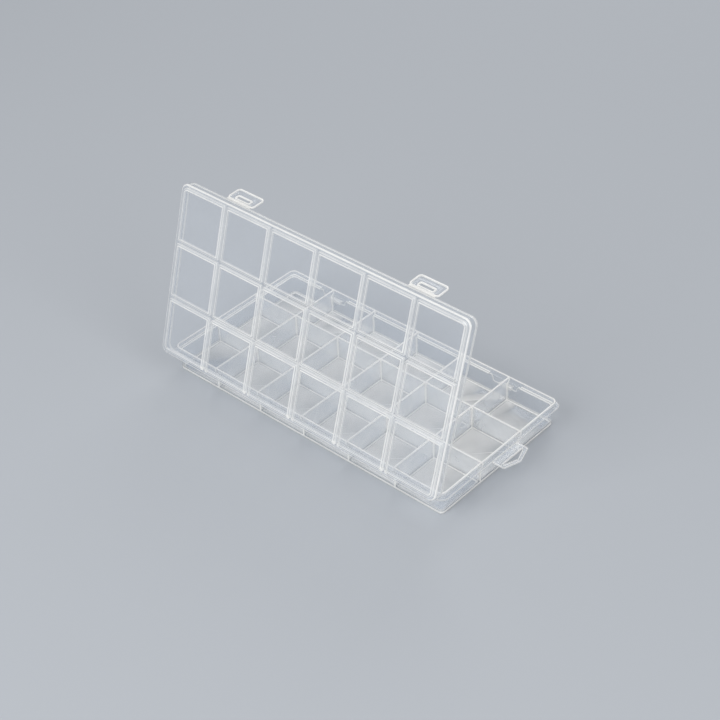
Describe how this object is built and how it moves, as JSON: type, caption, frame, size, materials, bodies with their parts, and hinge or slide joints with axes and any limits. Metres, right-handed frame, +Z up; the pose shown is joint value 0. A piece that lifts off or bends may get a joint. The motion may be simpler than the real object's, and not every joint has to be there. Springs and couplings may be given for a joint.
{
  "type": "flip-lid compartment box",
  "caption": "Shallow translucent plastic box with a grid of square compartments, a lid on a moulded fold, slotted latch tabs and a hanging tab, for beads and small craft parts.",
  "frame": {"origin": "centre of the tray's underside", "axes": "+X along the hinge towards the hanging tab, +Y from the hinge to the latch side, +Z up"},
  "size_m": [0.2508, 0.1289, 0.1354],
  "materials": {
    "polypropylene": "natural translucent polypropylene, moulded, satin"
  },
  "bodies": {
    "tray": {"column_divider_back_1": "polypropylene", "column_divider_back_2": "polypropylene", "column_divider_back_3": "polypropylene", "column_divider_back_4": "polypropylene", "column_divider_back_5": "polypropylene", "column_divider_front_1": "polypropylene", "column_divider_front_2": "polypropylene", "column_divider_front_3": "polypropylene", "column_divider_front_4": "polypropylene", "column_divider_front_5": "polypropylene", "column_divider_middle_1": "polypropylene", "column_divider_middle_2": "polypropylene", "column_divider_middle_3": "polypropylene", "column_divider_middle_4": "polypropylene", "column_divider_middle_5": "polypropylene", "hanger_plate": "polypropylene", "hanger_rail_back": "polypropylene", "hanger_rail_front": "polypropylene", "hinge_film": "polypropylene", "hinge_leaf_tray": "polypropylene", "latch_catch_left": "polypropylene", "latch_catch_right": "polypropylene", "latch_land_left": "polypropylene", "latch_land_right": "polypropylene", "row_divider_back": "polypropylene", "row_divider_front": "polypropylene", "tray_floor": "polypropylene", "tray_wall_back_left": "polypropylene", "tray_wall_back_left_corner": "polypropylene", "tray_wall_back_middle": "polypropylene", "tray_wall_back_right": "polypropylene", "tray_wall_back_right_corner": "polypropylene", "tray_wall_front": "polypropylene", "tray_wall_front_left_corner": "polypropylene", "tray_wall_front_right_corner": "polypropylene", "tray_wall_left": "polypropylene", "tray_wall_right": "polypropylene"},
    "lid": {"hinge_leaf_lid": "polypropylene", "latch_web_left": "polypropylene", "latch_web_right": "polypropylene", "lid_panel": "polypropylene", "lid_skirt_back": "polypropylene", "lid_skirt_back_left_corner": "polypropylene", "lid_skirt_back_right_corner": "polypropylene", "lid_skirt_front": "polypropylene", "lid_skirt_front_left_corner": "polypropylene", "lid_skirt_front_right_corner": "polypropylene", "lid_skirt_left": "polypropylene", "lid_skirt_right": "polypropylene"},
    "left_latch": {"latch_tab_left": "polypropylene"},
    "right_latch": {"latch_tab_right": "polypropylene"}
  },
  "joints": [
    {"name": "lid_fold", "type": "hinge", "parent": "tray", "child": "lid", "pos_m": [0, -0.0627, 0.0157], "axis": [1, 0, 0], "range_deg": [-73.2, 106.8]},
    {"name": "left_latch_fold", "type": "hinge", "parent": "lid", "child": "left_latch", "pos_m": [-0.07543, -0.02654, 0.13306], "axis": [1, 0, 0], "range_deg": [-19.3, 90]},
    {"name": "right_latch_fold", "type": "hinge", "parent": "lid", "child": "right_latch", "pos_m": [0.07543, -0.02654, 0.13306], "axis": [1, 0, 0], "range_deg": [-19.3, 90]}
  ]
}
